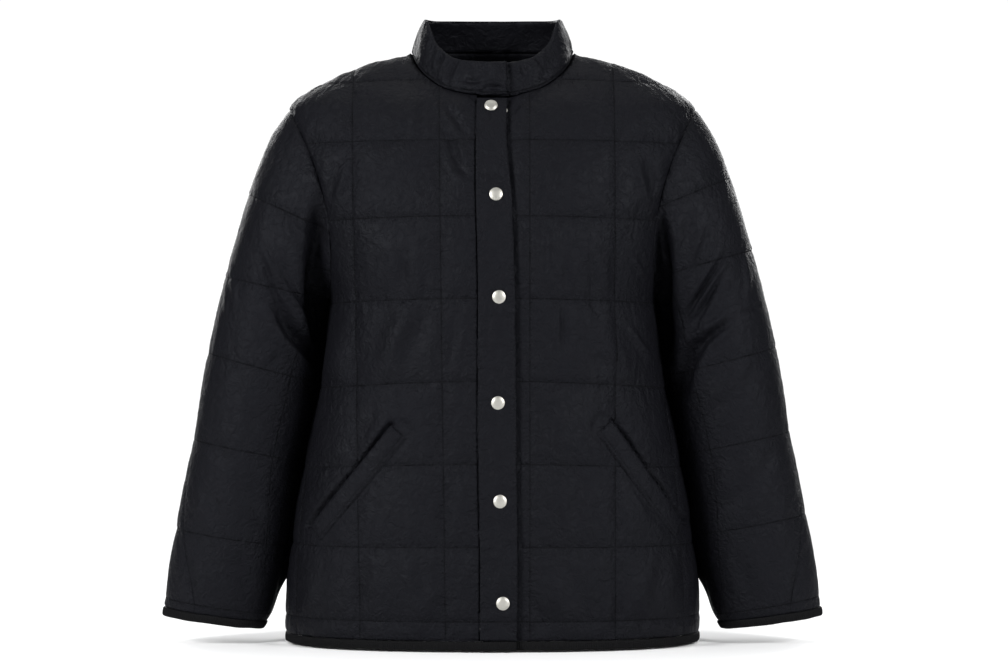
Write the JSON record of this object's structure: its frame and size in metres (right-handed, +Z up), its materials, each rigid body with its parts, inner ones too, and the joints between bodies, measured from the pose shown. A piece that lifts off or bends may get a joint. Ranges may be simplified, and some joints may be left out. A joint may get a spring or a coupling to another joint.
{
  "type": "quilted jacket",
  "caption": "Lightly padded box-quilted jacket with stand collar, snap front band, slanted welt pockets and long sleeves, hollow as worn.",
  "frame": {"origin": "middle of the wearer's shoulders, level with the neck points where collar and shoulder seams meet", "axes": "+X to the wearer's left, -Y out of the front, +Z up"},
  "size_m": [0.756, 0.3168, 0.7165],
  "materials": {
    "shell": "black plain-woven nylon, soft satin sheen",
    "binding": "matte black ribbed binding",
    "snap_metal": "brushed nickel-plated brass"
  },
  "bodies": {
    "root": {"back": "shell", "front_right": "shell", "front_left": "shell", "front_band": "shell", "collar": "shell", "sleeve_right": "shell", "sleeve_left": "shell", "pocket_welt_right": "shell", "pocket_welt_left": "shell", "hem_binding": "binding", "cuff_binding_right": "binding", "cuff_binding_left": "binding", "snap_stud_1": "snap_metal", "snap_cap_1": "snap_metal", "snap_cap_2": "snap_metal", "snap_cap_3": "snap_metal", "snap_cap_4": "snap_metal", "snap_cap_5": "snap_metal", "snap_cap_6": "snap_metal"}
  },
  "joints": []
}
